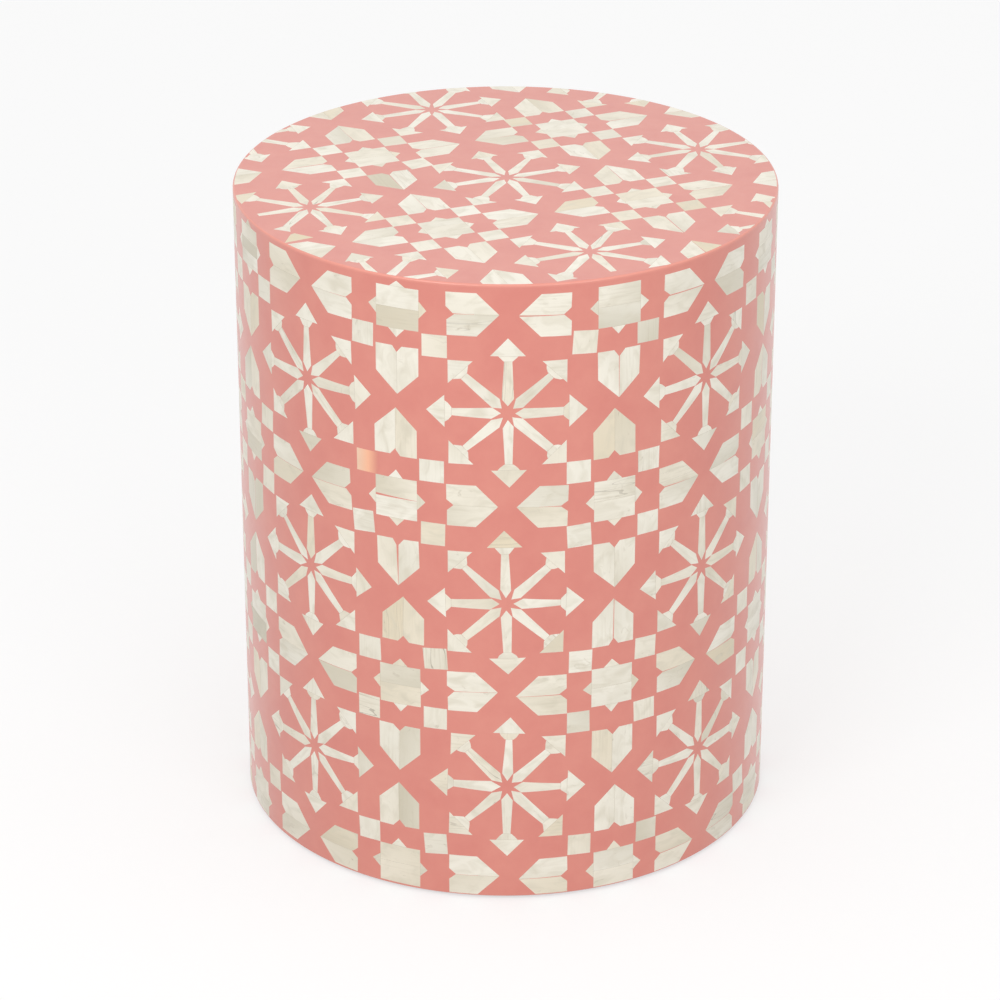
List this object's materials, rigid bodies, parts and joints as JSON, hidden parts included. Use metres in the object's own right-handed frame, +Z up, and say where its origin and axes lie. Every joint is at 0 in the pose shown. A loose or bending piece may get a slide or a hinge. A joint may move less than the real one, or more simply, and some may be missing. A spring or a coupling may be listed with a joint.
{
  "type": "drum stool",
  "caption": "Round drum stool or side table with a geometric bone inlay set in coral resin over a plywood drum, closed underneath, on low glides.",
  "frame": {"origin": "on the floor under the drum's axis, at the bottom centre of the bounding box", "axes": "+Z up along the drum's axis, which is the longest extent; -Y is the side that the picture shows, with a column of rosettes on it"},
  "size_m": [0.365, 0.365, 0.45],
  "materials": {
    "bone_inlay": "cream camel bone, sanded flush and hand polished",
    "coral_resin": "coral pink filled resin, sanded and polished to a satin sheen",
    "mdf_board": "MDF board, raw or sealed",
    "bendy_ply": "flexible plywood, raw",
    "softwood": "planed pine, raw",
    "glide_nylon": "moulded nylon"
  },
  "bodies": {
    "root": {"base_board": "mdf_board", "bottom_ring": "mdf_board", "glide_1": "glide_nylon", "glide_2": "glide_nylon", "glide_3": "glide_nylon", "glide_4": "glide_nylon", "lower_post_1": "softwood", "lower_post_2": "softwood", "lower_post_3": "softwood", "lower_post_4": "softwood", "middle_ring": "mdf_board", "rim_tessera_1": "bone_inlay", "rim_tessera_10": "bone_inlay", "rim_tessera_11": "bone_inlay", "rim_tessera_12": "bone_inlay", "rim_tessera_13": "bone_inlay", "rim_tessera_14": "bone_inlay", "rim_tessera_15": "bone_inlay", "rim_tessera_16": "bone_inlay", "rim_tessera_2": "bone_inlay", "rim_tessera_3": "bone_inlay", "rim_tessera_4": "bone_inlay", "rim_tessera_5": "bone_inlay", "rim_tessera_6": "bone_inlay", "rim_tessera_7": "bone_inlay", "rim_tessera_8": "bone_inlay", "rim_tessera_9": "bone_inlay", "side_ground": "coral_resin", "top_board": "mdf_board", "top_ground": "coral_resin", "top_inlay": "bone_inlay", "top_ring": "mdf_board", "upper_post_1": "softwood", "upper_post_2": "softwood", "upper_post_3": "softwood", "upper_post_4": "softwood", "wall_inlay_1": "bone_inlay", "wall_inlay_2": "bone_inlay", "wall_inlay_3": "bone_inlay", "wall_inlay_4": "bone_inlay", "wall_inlay_5": "bone_inlay", "wall_inlay_6": "bone_inlay", "wall_inlay_7": "bone_inlay", "wall_inlay_8": "bone_inlay", "wall_ply": "bendy_ply"}
  },
  "joints": []
}
